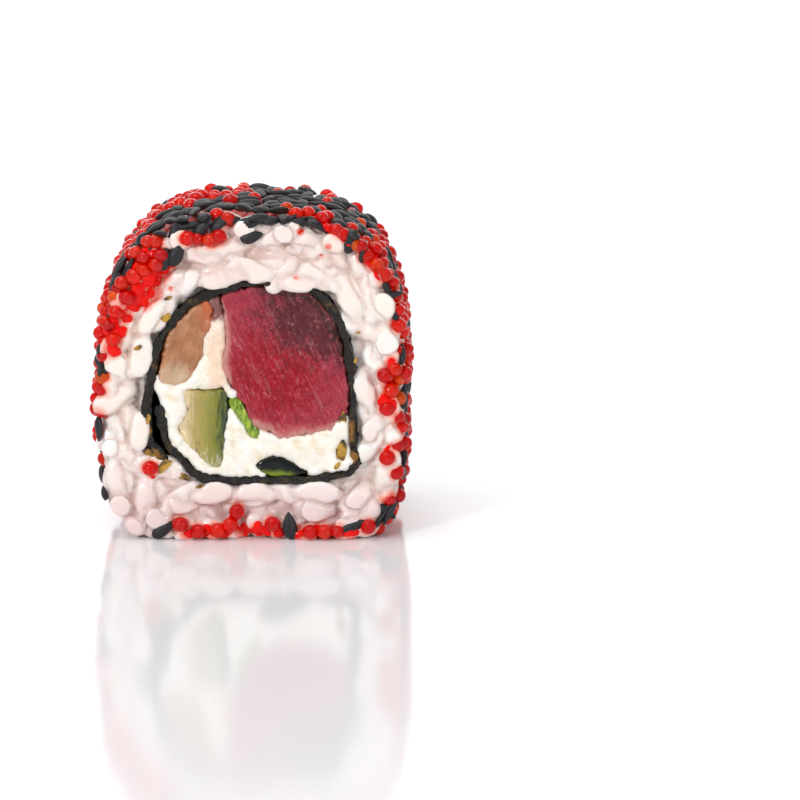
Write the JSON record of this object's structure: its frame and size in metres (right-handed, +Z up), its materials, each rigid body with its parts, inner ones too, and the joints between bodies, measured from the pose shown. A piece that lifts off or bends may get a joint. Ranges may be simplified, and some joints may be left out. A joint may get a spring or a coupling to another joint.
{
  "type": "uramaki roll piece",
  "caption": "Knife-cut piece of inside-out sushi roll: rice with roe and black sesame round seaweed, raw tuna, pale fish, soft cheese and cucumber.",
  "frame": {"origin": "centre of the foot, on the surface that the piece rests on", "axes": "+X to the right of the front cut, +Y from the front cut to the back cut, +Z up"},
  "size_m": [0.04, 0.027, 0.0416],
  "materials": {
    "rice": "sticky cooked rice, translucent satin grains with pink stains from the roe",
    "roe": "wet glossy translucent red eggs, a few of them orange",
    "sesame": "dry matte charcoal seeds",
    "nori": "damp crinkled seaweed sheet, near black with olive spots",
    "tuna": "raw deep red fish, wet satin cut with fine pale fibres",
    "pale_fish": "pale tan fish, moist satin cut with orange edges",
    "cucumber": "wet cut cucumber, olive to green with lengthwise fibres",
    "green_peel": "wet bright green peel",
    "dark_peel": "wet glossy dark green cucumber skin",
    "soft_cheese": "smooth creamy white soft cheese, softly torn at the cut"
  },
  "bodies": {
    "root": {"rice": "rice", "nori": "nori", "tuna": "tuna", "pale_fish": "pale_fish", "cucumber": "cucumber", "green_peel": "green_peel", "dark_peel": "dark_peel", "soft_cheese": "soft_cheese"}
  },
  "joints": []
}
